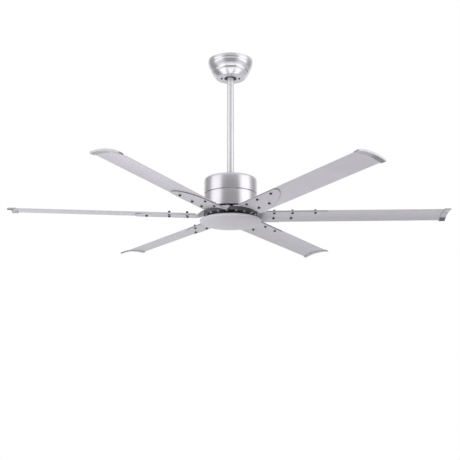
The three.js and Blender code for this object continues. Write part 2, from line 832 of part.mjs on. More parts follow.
// Trailing side of the arm, from its straight stretch through the sweep to the nose
const sweepStart = armStart + straightLength;
const sweepEnd = armLeading - noseRadius - noseTip;
const sweep = new THREE.CubicBezierCurve(
  new THREE.Vector2(sweepStart, -armTrailing),
  new THREE.Vector2(sweepStart + shoulderOut, shoulderAcross - armTrailing),
  new THREE.Vector2(noseOut - tailBack, sweepEnd - tailAcross),
  new THREE.Vector2(noseOut, sweepEnd));

// Stations along the bracket as [distance out, trailing side, leading side], closer together at the nose
function bracketStations() {
  const dropSteps = 3;
  const sweepSteps = 6;
  const stations = [[padInner, -armTrailing, armLeading]];
  for (let i = 0; i <= dropSteps; i += 1) {
    stations.push([padOuter + dropLength * i / dropSteps, -armTrailing, armLeading]);
  }
  for (let i = 0; i <= sweepSteps; i += 1) {
    const point = sweep.getPoint(1 - (1 - i / sweepSteps) ** 1.5);
    const past = Math.max(0, point.x - noseOut + noseRadius);
    const rounding = noseRadius - Math.sqrt(noseRadius ** 2 - past ** 2);
    stations.push([point.x, point.y, armLeading - rounding]);
  }
  return stations;
}

// One corner of the bracket: level on the hub ring at the pad, close under the blade's arch along
// the arm, and blended from one to the other where the bracket drops
function bracketCorner([out, trailing, leading], share, height) {
  const turn = radians(padHalfAngle) * share;
  const padMiddle = hubTop + gap + bracketThickness / 2 - bladePlane;
  const onPad = new THREE.Vector3(out * Math.cos(turn), -out * Math.sin(turn), padMiddle + height);
  const across = (trailing + leading) / 2 + share * (leading - trailing) / 2;
  const armMiddle = underside(across) - gap - bracketThickness / 2;
  const onArm = new THREE.Vector3(out, -across, armMiddle + height).applyMatrix4(bladeFrame);
  return onPad.lerp(onArm, THREE.MathUtils.smoothstep(out, padOuter, armStart));
}

// Closed skin over a row of sections, each with its corners along the bottom, one at the edge,
// as many back along the top, and one at the other edge
function lofted(sections) {
  const count = sections[0].length;
  const last = (sections.length - 1) * count;
  const faces = [];
  for (let i = 0; i < count; i += 1) {
    const next = (i + 1) % count;
    for (let row = 0; row < last; row += count) {
      faces.push(row + i, row + count + i, row + next);
      faces.push(row + next, row + count + i, row + count + next);
    }
  }
  const side = count / 2 - 2;
  const end = [[side, side + 1, side + 2], [count - 2, count - 1, 0]];
  for (let i = 0; i < side; i += 1) {
    end.push([i, i + 1, count - 3 - i], [i, count - 3 - i, count - 2 - i]);
  }
  for (const [a, b, c] of end) faces.push(a, b, c, last + a, last + c, last + b);
  const geometry = new THREE.BufferGeometry();
  geometry.setAttribute('position', new THREE.Float32BufferAttribute(
    sections.flat().flatMap((point) => point.toArray()), 3));
  geometry.setIndex(faces);
  return geometry;
}

// Bracket plate with chamfered edges
function bracketPlate() {
  const half = bracketThickness / 2;
  const sections = bracketStations().map((station) => {
    const inset = 1 - 2 * bracketChamfer / (station[2] - station[1]);
    const shares = evenShares(bracketRows).map((share) => inset * share);
    const low = shares.map((share) => bracketCorner(station, share, -half));
    const high = shares.map((share) => bracketCorner(station, share, half)).reverse();
    return [...low, bracketCorner(station, 1, 0), ...high, bracketCorner(station, -1, 0)];
  });
  return solid(lofted(sections));
}

function bladeBracket() {
  const padHeight = hubTop - bladePlane;
  const bolts = around(boltAngles, () => boltTool(padHeight - 1, padHeight + 2 * bracketThickness));
  const screws = screwTools().map((tool) => tool.applyMatrix4(bladeFrame));
  return shaped(cut(bracketPlate(), ...bolts, ...screws));
}

// Bottom cover: short rim, then a shallow dome, with an even wall
function bottomCover() {
  const domeTop = coverTop - coverRim;
  const dome = (wall, steps) => (
    Array.from({ length: steps + 1 }, (_, i) => {
      const angle = Math.PI / 2 * i / steps;
      const bulge = 0.75 * Math.sin(angle) + 0.25 * (1 - Math.cos(angle));
      const depth = coverDepth - coverRim - wall;
      return [(coverRadius - wall) * Math.cos(angle), domeTop - depth * bulge];
    }));
  const profile = [
    ...dome(0, 4).reverse(),
    [coverRadius, coverTop],
    [coverRadius - coverWall, coverTop],
    ...dome(coverWall, 3),
  ];
  return turned(profile, wideTurn);
}

function coverPlate() {
  const edge = coverRadius - coverWall - gap;
  return ring(shaftRadius + gap, edge, plateBottom, plateTop, wideTurn);
}

function coverNut() {
  const low = nutBottom;
  const hexagon = bar(nutFlats / Math.sqrt(3), low, low + nutHeight, 6);
  return shaped(cut(solid(hexagon), bar(shaftRadius + gap, low - 1, low + nutHeight + 1, midTurn)));
}

// Ceiling side: what stays on the ceiling
function ceilingSide() {
  const group = new THREE.Group();
  addPart(group, 'hanger_bracket', zincSteel, hangerBracket());
  addPart(group, 'canopy', brushedSilver, canopy());
  addPart(group, 'canopy_screw_left', blackSteel, canopyScrew(-1));
  addPart(group, 'canopy_screw_right', blackSteel, canopyScrew(1));
  return group;
}

// Hanging side: ball, rod, coupling, shaft, housing, stator and cover, which tilt with the ball
function hangingSide() {
  const group = new THREE.Group();
  addPart(group, 'hanger_ball', blackPlastic, hangerBall());
  addPart(group, 'ball_pin', zincSteel, crossBar(pinRadius, ballPinLength, ballPinHeight));
  addPart(group, 'downrod', brushedSilver, downrod());
  addPart(group, 'rod_pin', zincSteel, rodPin());
  addPart(group, 'rod_pin_clip', zincSteel, pinClip());
  addPart(group, 'rod_coupling', darkCasting, rodCoupling());
  addPart(group, 'set_screw_front', blackSteel, setScrew(-1));
  addPart(group, 'set_screw_back', blackSteel, setScrew(1));
  addPart(group, 'motor_shaft', zincSteel, motorShaft());
  addPart(group, 'lower_spacer', zincSteel, lowerSpacer());
  addPart(group, 'housing_upper', satinSilver, upperShell());
  addPart(group, 'housing_lower', satinSilver, lowerShell());
  addPart(group, 'driver_tray', blackPlastic, driverTray());
  addPart(group, 'driver_board', circuitGreen, driverBoard());
  addPart(group, 'stator_core', laminations, statorCore());
  addPart(group, 'stator_winding', copper, statorWinding());
  addPart(group, 'cover_plate', zincSteel, coverPlate());
  addPart(group, 'cover_nut', zincSteel, coverNut());
  addPart(group, 'bottom_cover', paintedSilver, bottomCover());
  return group;
}

// One bracket with its blade and end cap, in the arm's frame
function bladeArm(number) {
  const arm = new THREE.Group();
  addPart(arm, `blade_bracket_${number}`, paintedSilver, bladeBracket());
  const plane = new THREE.Group();
  plane.rotation.copy(bladeTilt);
  addPart(plane, `blade_${number}`, paintedSilver, blade());
  addPart(plane, `blade_cap_${number}`, polishedCap, endCap());
  arm.add(plane);
  return arm;
}

// Rotor: what turns on the shaft. Its arms are numbered clockwise from above, from the one at the right
function rotor() {
  const group = new THREE.Group();
  addPart(group, 'upper_bearing', zincSteel, bearing(upperBearingTop - bearingWidth));
  addPart(group, 'lower_bearing', zincSteel, bearing(lowerBearingBottom));
  addPart(group, 'rotor_bell', laminations, rotorBell());
  addPart(group, 'magnet_ring', ferrite, magnetRing());
  addPart(group, 'hub_ring', darkCasting, hubRing());
  for (let i = 0; i < bladeCount; i += 1) {
    const arm = bladeArm(i + 1);
    arm.position.z = bladePlane;
    arm.rotation.z = -2 * Math.PI * i / bladeCount;
    group.add(arm);
  }
  group.rotation.z = radians(firstAzimuth);
  return group;
}

const ceilingFan = new THREE.Group();
ceilingFan.add(ceilingSide(), hangingSide(), rotor());

export default ceilingFan;
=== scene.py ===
import math

import bmesh
import bpy
from mathutils import Matrix, Vector


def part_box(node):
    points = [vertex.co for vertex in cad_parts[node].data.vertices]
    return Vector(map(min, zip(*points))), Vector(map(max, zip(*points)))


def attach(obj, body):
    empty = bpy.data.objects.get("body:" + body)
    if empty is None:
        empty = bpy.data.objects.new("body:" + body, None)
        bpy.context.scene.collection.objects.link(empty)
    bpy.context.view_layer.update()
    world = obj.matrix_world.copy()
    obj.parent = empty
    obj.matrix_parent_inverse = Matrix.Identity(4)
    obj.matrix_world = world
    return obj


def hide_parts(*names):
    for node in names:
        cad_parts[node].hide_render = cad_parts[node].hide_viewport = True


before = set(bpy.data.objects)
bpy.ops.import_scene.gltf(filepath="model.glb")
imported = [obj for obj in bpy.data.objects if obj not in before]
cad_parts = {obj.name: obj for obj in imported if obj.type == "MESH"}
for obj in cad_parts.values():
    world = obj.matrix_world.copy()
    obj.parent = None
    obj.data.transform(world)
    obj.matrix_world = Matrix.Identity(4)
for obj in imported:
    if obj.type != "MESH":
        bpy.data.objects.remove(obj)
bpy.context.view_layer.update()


# ---- Hanger bracket -------------------------------------------------------------------------
# Strip of galvanised steel bent into a box and screwed to the ceiling. Its round seat holds the
# ball of the rod, and the canopy covers it, so it shows only from above.

# Share of a noise pattern, which hardly leaves it, over which its two colours blend
pattern_range = (0.3, 0.7)

# Edges and corners sharper than this are bevelled or shaded sharp
sharp_angle = math.radians(32)


def linear(sheet):
    """A colour written as sRGB hex, as linear red, green, blue and alpha."""
    channels = [int(sheet[i:i + 2], 16) / 255 for i in (1, 3, 5)]
    return [c / 12.92 if c <= 0.04045 else ((c + 0.055) / 1.055) ** 2.4 for c in channels] + [1.0]


def add(material, kind, inputs=None, feeds=None, **settings):
    """Adds a node. Inputs are values or the sockets that they come from; feeds are the sockets
    that its outputs go to."""
    node = material.node_tree.nodes.new(kind)
    for name, value in settings.items():
        setattr(node, name, value)
    links = material.node_tree.links
    for name, value in (inputs or {}).items():
        if isinstance(value, bpy.types.NodeSocket):
            links.new(value, node.inputs[name])
        else:
            node.inputs[name].default_value = value
    for name, target in (feeds or {}).items():
        links.new(node.outputs[name], target)
    return node


def start_finish(name, metallic, roughness):
    """A new material and its shader, with the values that are the same all over."""
    material = bpy.data.materials.new(name)
    material.use_nodes = True
    shader = material.node_tree.nodes["Principled BSDF"]
    shader.inputs["Metallic"].default_value = metallic
    shader.inputs["Roughness"].default_value = roughness
    return material, shader


def tint(material, shader, pattern, dark, light):
    """Lets a pattern from 0 to 1 run from one colour to another."""
    ramp = add(material, "ShaderNodeValToRGB", {"Fac": pattern},
               {"Color": shader.inputs["Base Color"]})
    for stop, position, colour in zip(ramp.color_ramp.elements, pattern_range, (dark, light)):
        stop.position = position
        stop.color = linear(colour)
    return ramp


def roughen(material, shader, pattern, low, high):
    """Lets a pattern from 0 to 1 run from one roughness to another."""
    add(material, "ShaderNodeMapRange", {"Value": pattern, "To Min": low, "To Max": high},
        {"Result": shader.inputs["Roughness"]})


def emboss(material, shader, pattern, depth):
    """Raises a pattern by a depth in millimetres."""
    add(material, "ShaderNodeBump", {"Height": pattern, "Distance": depth / 1000, "Strength": 1.0},
        {"Normal": shader.inputs["Normal"]})


def dress(name, material):
    """Gives a carried-over piece of the frame its finish."""
    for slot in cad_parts[name].material_slots:
        slot.material = material


# Hot-dip galvanised steel: crystals about 7 mm across, each a slightly different grey
galvanised, shader = start_finish("galvanised_steel", 1.0, 0.4)
place = add(galvanised, "ShaderNodeTexCoord")
spangle = add(galvanised, "ShaderNodeTexVoronoi", {"Vector": place.outputs["Object"],
                                                   "Scale": 1000 / 7})
tint(galvanised, shader, spangle.outputs["Color"], "#A9ACB0", "#C3C6CA")
roughen(galvanised, shader, spangle.outputs["Color"], 0.3, 0.5)
dress("hanger_bracket", galvanised)


# ---- Canopy ---------------------------------------------------------------------------------
# Cup spun from steel sheet, nickel plated and polished: a rim band rolled in at its foot, an upper
# bowl, a step, and a lower bowl with a flat bottom. It hangs on two screws from the hanger bracket.
canopy_top = -0.5
canopy_bottom = -72.5
canopy_wall = 1.2
canopy_radius = 86.8
canopy_neck = 84
canopy_step = 73.4
canopy_flat = 54.8
canopy_hole = 25.5
canopy_facets = 128

# Depths below the rim where each curve of the side starts, is pulled to and ends, and how far in
# from where it starts the pull lies
band_start, band_pull, band_foot = 9, 16, 19
upper_start, upper_pull, upper_foot, upper_pull_in = 19.8, 34.3, 44.8, 4
lower_start, lower_pull, lower_start_in, lower_pull_in = 45.8, 57.2, 1, 2.6


def arc(centre, across, down, start, end, steps):
    """Points of an ellipse about (radius, height) between two angles in degrees."""
    angles = [math.radians(start + (end - start) * i / steps) for i in range(steps + 1)]
    return [(centre[0] + across * math.cos(a), centre[1] + down * math.sin(a)) for a in angles]


def swoop(start, pull, end, steps):
    """Points of a curve that leaves the start towards the pull and comes to the end from it."""
    shares = [i / steps for i in range(steps + 1)]
    return [tuple((1 - t) ** 2 * a + 2 * t * (1 - t) * b + t * t * c
                  for a, b, c in zip(start, pull, end)) for t in shares]


def turn(bm, outline, facets, angle=2 * math.pi):
    """Spins an outline of (radius, height) points round the Z axis, closed unless it ends on it."""
    corners = [bm.verts.new((radius, 0, height)) for radius, height in outline]
    follows = corners[1:] if outline[0][0] == 0 else corners[1:] + corners[:1]
    edges = [bm.edges.new(pair) for pair in zip(corners, follows)]
    made = bmesh.ops.spin(bm, geom=corners + edges, cent=(0, 0, 0), axis=(0, 0, 1), angle=angle,
                          steps=facets, use_merge=angle == 2 * math.pi)
    if angle != 2 * math.pi:
        bmesh.ops.contextual_create(bm, geom=edges)
        last = [g for g in made["geom_last"] if isinstance(g, bmesh.types.BMEdge)]
        bmesh.ops.contextual_create(bm, geom=last)
    bmesh.ops.remove_doubles(bm, verts=bm.verts, dist=1e-4)
    return bm


def finish_piece(name, bm, material, body, replaced=(), rounding=0.4, move=None):
    """Turns millimetres to metres, rounds the edges, and hangs the piece on its body."""
    bmesh.ops.recalc_face_normals(bm, faces=bm.faces)
    if move is not None:
        bmesh.ops.transform(bm, matrix=move, verts=bm.verts)
    bmesh.ops.scale(bm, vec=(0.001, 0.001, 0.001), verts=bm.verts)
    mesh = bpy.data.meshes.new(name)
    bm.to_mesh(mesh)
    bm.free()
    mesh.shade_smooth()
    mesh.materials.append(material)
    piece = bpy.data.objects.new(name, mesh)
    bpy.context.scene.collection.objects.link(piece)
    if rounding:
        bevel = piece.modifiers.new("rounded_edges", "BEVEL")
        bevel.width = rounding / 1000
        bevel.segments = 2
        bevel.limit_method = "ANGLE"
        bevel.angle_limit = sharp_angle
        bevel.harden_normals = True
    else:
        mesh.set_sharp_from_angle(angle=sharp_angle)
    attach(piece, body)
    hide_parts(*replaced)
    return piece


def lathe_lines(material, spacing):
    """Fine rings that a tool or a polishing mop leaves on a turned piece, spaced in millimetres."""
    place = add(material, "ShaderNodeTexCoord")
    flat = add(material, "ShaderNodeMapping", {"Vector": place.outputs["Object"],
                                               "Scale": (1, 1, 0)})
    radius = add(material, "ShaderNodeVectorMath", {0: flat.outputs["Vector"]}, operation="LENGTH")
    height = add(material, "ShaderNodeSeparateXYZ", {"Vector": place.outputs["Object"]})
    along = add(material, "ShaderNodeMath", {0: radius.outputs["Value"], 1: height.outputs["Z"]},
                operation="SUBTRACT")
    return add(material, "ShaderNodeTexNoise", {"W": along.outputs["Value"],
                                                "Scale": 1000 / spacing, "Detail": 3.0},
               noise_dimensions="1D")


# Nickel plate on spun steel, polished on the lathe: soft bright reflections and faint rings, drawn
# 2 mm apart
polished, shader = start_finish("polished_nickel_plate", 1.0, 0.25)
rings = lathe_lines(polished, 2.0)
tint(polished, shader, rings.outputs["Fac"], "#CFCED3", "#DCDBE0")
roughen(polished, shader, rings.outputs["Fac"], 0.21, 0.29)
emboss(polished, shader, rings.outputs["Fac"], 0.02)


def canopy_side(wall, steps):
    """Outline of the cup from its rim to its hole, one wall inside its outer face."""
    points = [(canopy_radius - wall, canopy_top)]
    points += swoop((canopy_radius - wall, canopy_top - band_start),
                    (canopy_radius - wall, canopy_top - band_pull),
                    (canopy_neck - wall, canopy_top - band_foot), steps // 2)
    points += swoop((canopy_neck - wall, canopy_top - upper_start),
                    (canopy_neck - upper_pull_in - wall, canopy_top - upper_pull),
                    (canopy_step - wall, canopy_top - upper_foot), steps)
    points += swoop((canopy_step - lower_start_in - wall, canopy_top - lower_start),
                    (canopy_step - lower_pull_in - wall, canopy_top - lower_pull),
                    (canopy_flat - wall / 2, canopy_bottom + wall), steps)
    return points + [(canopy_hole, canopy_bottom + wall)]


canopy = turn(bmesh.new(), canopy_side(0, 12) + canopy_side(canopy_wall, 8)[::-1], canopy_facets)
finish_piece("canopy_spun_cup", canopy, polished, "ceiling_mount", ["canopy"],
             0.5)


# ---- Canopy screws --------------------------------------------------------------------------
# Two round-headed screws of blackened steel, driven up from below beside the rod's opening.
canopy_screw_out = 34
canopy_screw_face = -75.2
screw_facets = 24

# Radius and height of the head, radius and length of the shank, and radius of the recess
canopy_screw_size = (3.6, 2.4, 1.6, 5.4, 1.3)

# Steel blackened in hot oxide and oiled: dark, with a low sheen that is worn on the high spots
blackened, shader = start_finish("blackened_steel", 0.3, 0.45)
place = add(blackened, "ShaderNodeTexCoord")
wear = add(blackened, "ShaderNodeTexNoise", {"Vector": place.outputs["Object"], "Scale": 1000 / 1.5,
                                             "Detail": 4.0})
tint(blackened, shader, wear.outputs["Fac"], "#141317", "#232228")
roughen(blackened, shader, wear.outputs["Fac"], 0.38, 0.55)


def screw(bm, head_radius, head_height, shank_radius, shank_length, recess):
    """Screw along Z that stands on its head: the head's face is at zero, the shank points up."""
    outline = [(0, 0), (0.55 * head_radius, 0), (0.82 * head_radius, 0.16 * head_height),
               (head_radius, 0.5 * head_height), (head_radius, head_height),
               (shank_radius, head_height), (shank_radius, head_height + shank_length - 0.5),
               (shank_radius - 0.5, head_height + shank_length), (0, head_height + shank_length)]
    turn(bm, outline, screw_facets)
    wedges = [f for f in bm.faces if f.calc_center_median().z < 1e-3]
    bmesh.ops.inset_region(bm, faces=wedges, thickness=0.55 * head_radius - recess, depth=0)
    dip = [f for f in bm.faces if f.calc_center_median().z < 1e-3
           and max(v.co.xy.length for v in f.verts) < recess + 0.05]
    bmesh.ops.translate(bm, verts=list({v for f in dip for v in f.verts}),
                        vec=(0, 0, 0.45 * head_height))
    return bm


for side, name in ((-1, "left"), (1, "right")):
    finish_piece(f"canopy_screw_{name}_black", screw(bmesh.new(), *canopy_screw_size), blackened,
                 "ceiling_mount", [f"canopy_screw_{name}"], 0,
                 Matrix.Translation((side * canopy_screw_out, 0, canopy_screw_face)))


# ---- Hanger ball ----------------------------------------------------------------------------
# Moulded nylon ball on the rod's upper end, cored out from below. It tilts in the bracket's seat,
# and a groove down its back takes the seat's tab, so that it can't turn. It fills the opening in
# the canopy with dark.
ball_centre = -52.311
ball_radius = 28
ball_cut = 18
ball_dish = 12.5
dish_foot = 15
rod_bore = 13.65
groove_floor = 18.7
groove_half = 2.5
ball_facets = 64

# Black nylon with a spark-eroded mould texture, grains about 1.2 mm so that they show
nylon, shader = start_finish("moulded_black_nylon", 0.0, 0.5)
shader.inputs["IOR"].default_value = 1.53
place = add(nylon, "ShaderNodeTexCoord")
grain = add(nylon, "ShaderNodeTexNoise", {"Vector": place.outputs["Object"],
                                          "Scale": 1000 / 1.2, "Detail": 3.0})
tint(nylon, shader, grain.outputs["Fac"], "#1C1B1E", "#29282C")
roughen(nylon, shader, grain.outputs["Fac"], 0.42, 0.6)
emboss(nylon, shader, grain.outputs["Fac"], 0.05)

ball_reach = math.degrees(math.asin(ball_cut / ball_radius))
ball = bmesh.new()
ball_crown = arc((0, 0), ball_radius, ball_radius, 0, ball_reach, 8)
turn(ball, [(rod_bore, ball_cut), (rod_bore, 0)] + ball_crown, ball_facets)
turn(ball, [(rod_bore, 0), (rod_bore, -ball_dish), (groove_floor, -dish_foot), (groove_floor, 0)],
     ball_facets)
ball_rim = arc((0, 0), ball_radius, ball_radius, -ball_reach, 0, 8)
groove_angle = 2 * math.asin(groove_half / ball_radius)
lower = turn(bmesh.new(), [(groove_floor, 0), (groove_floor, -dish_foot)] + ball_rim,
             ball_facets - 4, 2 * math.pi - groove_angle)
bmesh.ops.rotate(lower, verts=lower.verts, cent=(0, 0, 0),
                 matrix=Matrix.Rotation(math.pi / 2 + groove_angle / 2, 3, "Z"))
lower_mesh = bpy.data.meshes.new("ball_lower")
lower.to_mesh(lower_mesh)
lower.free()
ball.from_mesh(lower_mesh)
finish_piece("hanger_ball_nylon", ball, nylon, "suspension", ["hanger_ball"], 0,
             Matrix.Translation((0, 0, ball_centre)))

# Bright zinc on turned steel pins: bluish and clean, with faint turning lines
zinc, shader = start_finish("bright_zinc_steel", 1.0, 0.3)
rings = lathe_lines(zinc, 1.5)
tint(zinc, shader, rings.outputs["Fac"], "#CDD1D6", "#E1E5E9")
roughen(zinc, shader, rings.outputs["Fac"], 0.22, 0.38)
dress("ball_pin", zinc)


# ---- Downrod --------------------------------------------------------------------------------
# Length of 3/4 inch steel pipe, nickel plated and brushed, pinned to the ball above and to the
# coupling inside the housing below.
rod_radius = 13.35
rod_wall = 2.9
rod_top = -35.01
rod_bottom = -515.01
rod_facets = 64

# Brushed nickel plate under satin lacquer: soft silver, brush lines round the tube 1.6 mm apart
brushed_rod, shader = start_finish("brushed_nickel_tube", 0.8, 0.34)
rings = lathe_lines(brushed_rod, 1.6)
tint(brushed_rod, shader, rings.outputs["Fac"], "#D6D5D9", "#E2E1E5")
roughen(brushed_rod, shader, rings.outputs["Fac"], 0.3, 0.38)
emboss(brushed_rod, shader, rings.outputs["Fac"], 0.01)

rod = turn(bmesh.new(), [(rod_radius, rod_top), (rod_radius, rod_bottom),
                         (rod_radius - rod_wall, rod_bottom), (rod_radius - rod_wall, rod_top)],
           rod_facets)
finish_piece("downrod_tube", rod, brushed_rod, "suspension", ["downrod"], 0.5)


# ---- Coupling, pin, clip and set screws -----------------------------------------------------
# Cast yoke under the housing's top: a clevis pin with a spring clip holds the rod in it, and two
# set screws clamp the shaft. All of it is inside the housing.

# Die-cast aluminium under a thin black coat: pitted all over, pits about 2.5 mm apart
cast_black, shader = start_finish("black_coated_casting", 0.25, 0.5)
place = add(cast_black, "ShaderNodeTexCoord")
pits = add(cast_black, "ShaderNodeTexNoise", {"Vector": place.outputs["Object"],
                                              "Scale": 1000 / 2.5, "Detail": 5.0})
tint(cast_black, shader, pits.outputs["Fac"], "#4C4A50", "#6B6970")
roughen(cast_black, shader, pits.outputs["Fac"], 0.4, 0.6)
emboss(cast_black, shader, pits.outputs["Fac"], 0.12)
dress("rod_coupling", cast_black)
for name in ("rod_pin", "rod_pin_clip"):
    dress(name, zinc)
for name in ("set_screw_front", "set_screw_back"):
    dress(name, blackened)


# ---- Shaft and bearings ---------------------------------------------------------------------
# Hollow steel shaft, fixed in the coupling, on which the rotor turns in two ball bearings. A tube
# on it keeps the cover plate off the lower bearing.

# Ground bearing steel: near-mirror rings with faint grinding marks 1.2 mm apart
ground, shader = start_finish("ground_bearing_steel", 1.0, 0.18)
rings = lathe_lines(ground, 1.2)
tint(ground, shader, rings.outputs["Fac"], "#B9BABD", "#D2D3D6")
roughen(ground, shader, rings.outputs["Fac"], 0.12, 0.26)
for name in ("upper_bearing", "lower_bearing"):
    dress(name, ground)
for name in ("motor_shaft", "lower_spacer"):
    dress(name, zinc)


# ---- Motor housing --------------------------------------------------------------------------
# Two drawn steel shells, plated and brushed round, that meet at a seam half-way up. The lower one
# plugs into the upper with a spigot, and its bottom edge is turned in. Four screws in the top
# hold the shells to the coupling's flange.
housing_radius = 100
housing_wall = 1.5
housing_top = -480.01
seam_top = -541.01
lower_shell_top = -541.31
housing_bottom = -602.11
corner_round = 10
foot_round = 1.2
seam_round = 0.8
rod_opening = 16
spigot_clearance = 0.3
spigot_height = 7
foot_lip = 4
housing_facets = 160

# The seam's groove is cut in to its floor, and the wall behind it stands further in
groove_height = 2.8
groove_radius = 94.5
groove_wall = 93.3
groove_backs = (3.4, 4.5)

# Screws in the top: as for the canopy's, and how far out they sit
top_screw_size = (4.2, 2.6, 2.4, 5, 1.6)
top_screw_out = 26

# Nickel plated steel, brushed round: bright soft bands, brush lines drawn 1.8 mm apart
brushed_shell, shader = start_finish("brushed_nickel_shell", 1.0, 0.3)
rings = lathe_lines(brushed_shell, 1.8)
tint(brushed_shell, shader, rings.outputs["Fac"], "#CDCBD1", "#DBD9DF")
roughen(brushed_shell, shader, rings.outputs["Fac"], 0.25, 0.35)
emboss(brushed_shell, shader, rings.outputs["Fac"], 0.01)

inner = housing_radius - housing_wall
upper = arc((housing_radius - seam_round, seam_top + seam_round), seam_round, seam_round, -90, 0, 3)
corner = (housing_radius - corner_round, housing_top - corner_round)
upper += arc(corner, corner_round, corner_round, 0, 90, 10)
upper += [(rod_opening, housing_top), (rod_opening, housing_top - housing_wall)]
upper += arc(corner, corner_round - housing_wall, corner_round - housing_wall, 90, 0, 6)
upper += [(inner, seam_top)]
finish_piece("housing_upper_shell", turn(bmesh.new(), upper, housing_facets), brushed_shell,
             "suspension", ["housing_upper"], 0.3)

spigot = inner - spigot_clearance
lower = [(inner - foot_lip, housing_bottom)]
lower += arc((housing_radius - foot_round, housing_bottom + foot_round), foot_round, foot_round,
             -90, 0, 3)
lower += [(housing_radius, lower_shell_top - groove_height),
          (groove_radius, lower_shell_top - groove_height), (groove_radius, lower_shell_top)]
lower += [(spigot, lower_shell_top), (spigot, lower_shell_top + spigot_height),
          (groove_wall, lower_shell_top + spigot_height),
          (groove_wall, lower_shell_top - groove_backs[0]),
          (inner, lower_shell_top - groove_backs[1]), (inner, housing_bottom + housing_wall),
          (inner - foot_lip, housing_bottom + housing_wall)]
finish_piece("housing_lower_shell", turn(bmesh.new(), lower, housing_facets), brushed_shell,
             "suspension", ["housing_lower"], 0.3)

top_screws = bmesh.new()
for quarter in range(4):
    one = screw(bmesh.new(), *top_screw_size)
    flip = (Matrix.Translation((0, 0, housing_top + top_screw_size[1]))
            @ Matrix.Rotation(math.pi, 4, "X"))
    spread = (Matrix.Rotation(math.radians(45 + 90 * quarter), 4, "Z")
              @ Matrix.Translation((top_screw_out, 0, 0)))
    bmesh.ops.transform(one, matrix=spread @ flip, verts=one.verts)
    one_mesh = bpy.data.meshes.new("top_screw")
    one.to_mesh(one_mesh)
    one.free()
    top_screws.from_mesh(one_mesh)
finish_piece("housing_top_screws", top_screws, blackened, "suspension", (), 0)


# ---- Driver tray and board ------------------------------------------------------------------
# Plastic tray on the shaft's collar, with a round circuit board and six capacitors that drive the
# motor. Inside the housing.
dress("driver_tray", nylon)
board_thickness = 0.0016
board_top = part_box("driver_board")[0].z + board_thickness

# Glass-fibre board under green solder mask with tracks 3 mm apart; dark sleeves on the capacitors
board, shader = start_finish("solder_masked_board", 0.0, 0.35)
place = add(board, "ShaderNodeTexCoord")
tracks = add(board, "ShaderNodeTexVoronoi", {"Vector": place.outputs["Object"], "Scale": 1000 / 3},
             distance="MANHATTAN")
mask = tint(board, shader, tracks.outputs["Distance"], "#1A4F31", "#2C7A4C")
height = add(board, "ShaderNodeSeparateXYZ", {"Vector": place.outputs["Object"]})
above = add(board, "ShaderNodeMath", {0: height.outputs["Z"], 1: board_top + board_thickness / 4},
            operation="GREATER_THAN")
add(board, "ShaderNodeMix", {0: above.outputs["Value"], 6: mask.outputs["Color"],
                             7: linear("#20242C")}, {2: shader.inputs["Base Color"]},
    data_type="RGBA")
dress("driver_board", board)


# ---- Stator ---------------------------------------------------------------------------------
# Core of stacked electrical steel on the shaft, with twelve teeth, and the copper winding that
# fills its slots and stands out over both faces.

# Electrical steel sheets 0.5 mm thick, drawn 1 mm so that they show, with dull oxide between
stacked, shader = start_finish("stacked_electrical_steel", 0.9, 0.45)
place = add(stacked, "ShaderNodeTexCoord")
sheets = add(stacked, "ShaderNodeTexWave", {"Vector": place.outputs["Object"], "Scale": 1000 / 20,
                                            "Distortion": 0.2},
             wave_type="BANDS", bands_direction="Z")
tint(stacked, shader, sheets.outputs["Fac"], "#6A6D72", "#8E9196")
emboss(stacked, shader, sheets.outputs["Fac"], 0.05)
for name in ("stator_core", "rotor_bell"):
    dress(name, stacked)

# Enamelled copper wire, 1 mm thick: glossy orange-brown turns laid side by side
wound, shader = start_finish("enamelled_copper_wire", 0.85, 0.35)
place = add(wound, "ShaderNodeTexCoord")
turns = add(wound, "ShaderNodeTexWave", {"Vector": place.outputs["Object"], "Scale": 1000 / 20,
                                         "Distortion": 1.5},
            wave_type="RINGS", rings_direction="Z")
tint(wound, shader, turns.outputs["Fac"], "#7E4522", "#B9743F")
emboss(wound, shader, turns.outputs["Fac"], 0.2)
dress("stator_winding", wound)

# Pressed ferrite magnets: matt charcoal, with a coarse sintered grain 1.5 mm across
sintered, shader = start_finish("sintered_ferrite", 0.1, 0.7)
place = add(sintered, "ShaderNodeTexCoord")
grain = add(sintered, "ShaderNodeTexNoise", {"Vector": place.outputs["Object"],
                                             "Scale": 1000 / 1.5})
tint(sintered, shader, grain.outputs["Fac"], "#232225", "#38373A")
emboss(sintered, shader, grain.outputs["Fac"], 0.04)
dress("magnet_ring", sintered)


# ---- Hub ring -------------------------------------------------------------------------------
# Dark cast ring under the motor that turns on the lower bearing and carries the six brackets. Its
# thick rim is drilled for their bolts, and a thin web joins it to the bearing's seat.
hub_radius = 101
hub_top = -612.51
hub_bottom = -625.51
hub_rim = 13
hub_web = 4
hub_seat_inner = 21.3
hub_seat_outer = 25.3
hub_lip = 19
hub_lip_height = 1
hub_facets = 128

hub_outline = [(hub_lip, hub_bottom), (hub_seat_outer, hub_bottom),
               (hub_seat_outer, hub_top - hub_web), (hub_radius - hub_rim, hub_top - hub_web),
               (hub_radius - hub_rim, hub_bottom), (hub_radius, hub_bottom), (hub_radius, hub_top),
               (hub_seat_inner, hub_top), (hub_seat_inner, hub_bottom + hub_lip_height),
               (hub_lip, hub_bottom + hub_lip_height)]
hub = turn(bmesh.new(), hub_outline, hub_facets)
finish_piece("hub_ring_casting", hub, cast_black, "rotor", ["hub_ring"], 0.8)


